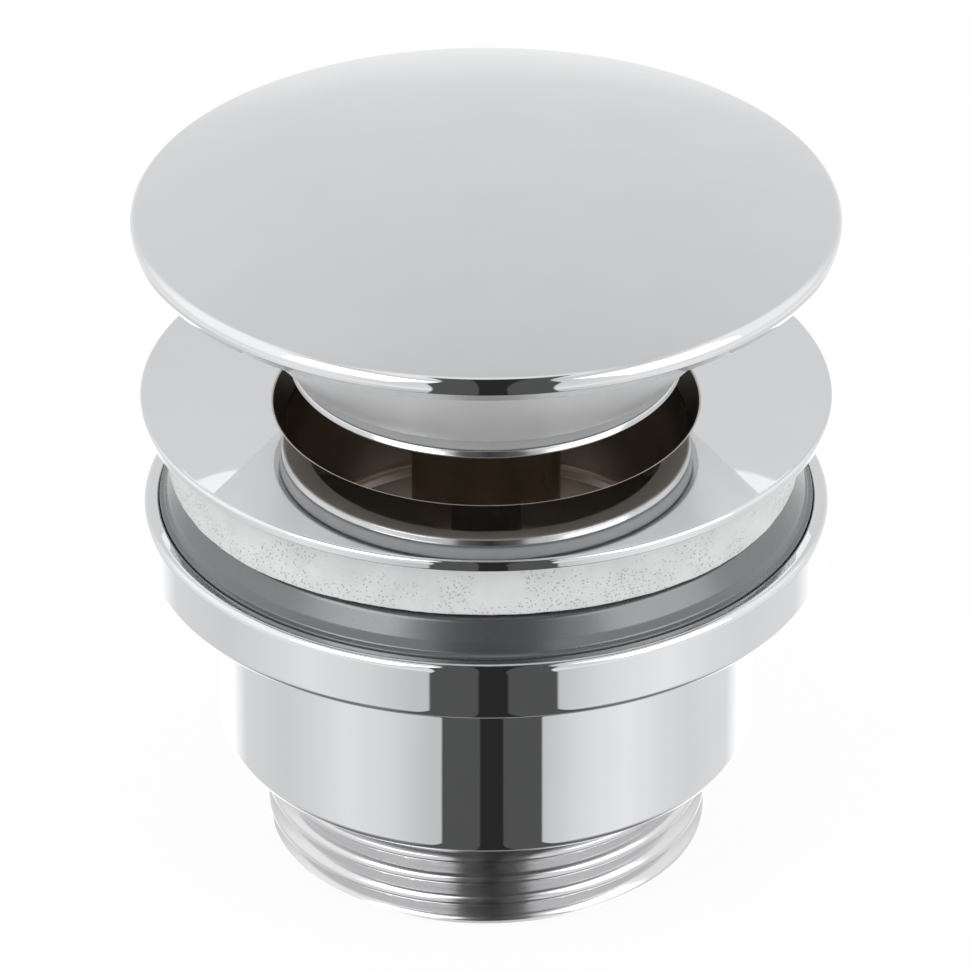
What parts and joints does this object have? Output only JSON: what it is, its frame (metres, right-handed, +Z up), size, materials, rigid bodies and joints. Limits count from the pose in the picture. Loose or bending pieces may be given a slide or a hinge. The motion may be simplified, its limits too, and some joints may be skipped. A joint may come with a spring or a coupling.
{
  "type": "pop-up basin waste",
  "caption": "Round press-to-open basin drain: domed mushroom cap on a sprung plug, dished flange, foam and rubber washers, screwed lower body with collar and threaded tail.",
  "frame": {"origin": "centre of the threaded tail's lower end, on the drain's axis", "axes": "+Z up along the drain's axis from the tail to the cap"},
  "size_m": [0.066, 0.066, 0.071],
  "materials": {
    "chrome": "polished chrome plate on brass",
    "brass": "machined, lightly tarnished",
    "spring_steel": "drawn stainless",
    "grey_rubber": "satin moulded",
    "white_foam": "closed-cell foam with small pores",
    "acetal": "moulded acetal"
  },
  "bodies": {
    "lower_body": {"tail_body": "chrome", "shelf_gasket": "grey_rubber"},
    "clamp_washer": {"rubber_washer": "grey_rubber"},
    "upper_body": {"flange_body": "chrome", "foam_washer": "white_foam", "core_shell": "brass", "core_lock_nut": "brass", "core_bush": "brass", "stem_wiper": "grey_rubber", "guide_sleeve": "acetal", "core_spring": "spring_steel", "spring_screw": "brass"},
    "plug": {"thrust_washer": "spring_steel", "push_crown": "acetal", "crown_clip": "spring_steel", "plunger_stem": "spring_steel", "plug_cone": "chrome", "plug_seal": "grey_rubber", "cap_nut": "brass", "cap_dome": "chrome"},
    "rotor": {"latch_rotor": "acetal"}
  },
  "joints": [
    {"name": "clamp_turn", "type": "hinge", "parent": "lower_body", "child": "clamp_washer", "pos_m": [0, 0, 0.0315], "axis": [0, 0, 1], "range_deg": [0, 3241]},
    {"name": "clamp_lift", "type": "slide", "parent": "clamp_washer", "child": "upper_body", "axis": [0, 0, 1], "range_m": [0, 0.0135]},
    {"name": "plug_press", "type": "slide", "parent": "upper_body", "child": "plug", "axis": [0, 0, 1], "range_m": [-0.0068, 0], "stiffness_N_per_m": 500, "springref_m": 0.01, "deforming": ["core_spring"]},
    {"name": "rotor_step", "type": "hinge", "parent": "plug", "child": "rotor", "pos_m": [0, 0, 0.036], "axis": [0, 0, 1], "range_deg": [0, 45.1]}
  ],
  "couplings": [
    {"joint": "clamp_turn", "follows": "clamp_lift", "rad_per_m": 4188.8},
    {"joint": "rotor_step", "follows": "plug_press", "rad_per_m": -115.5}
  ]
}
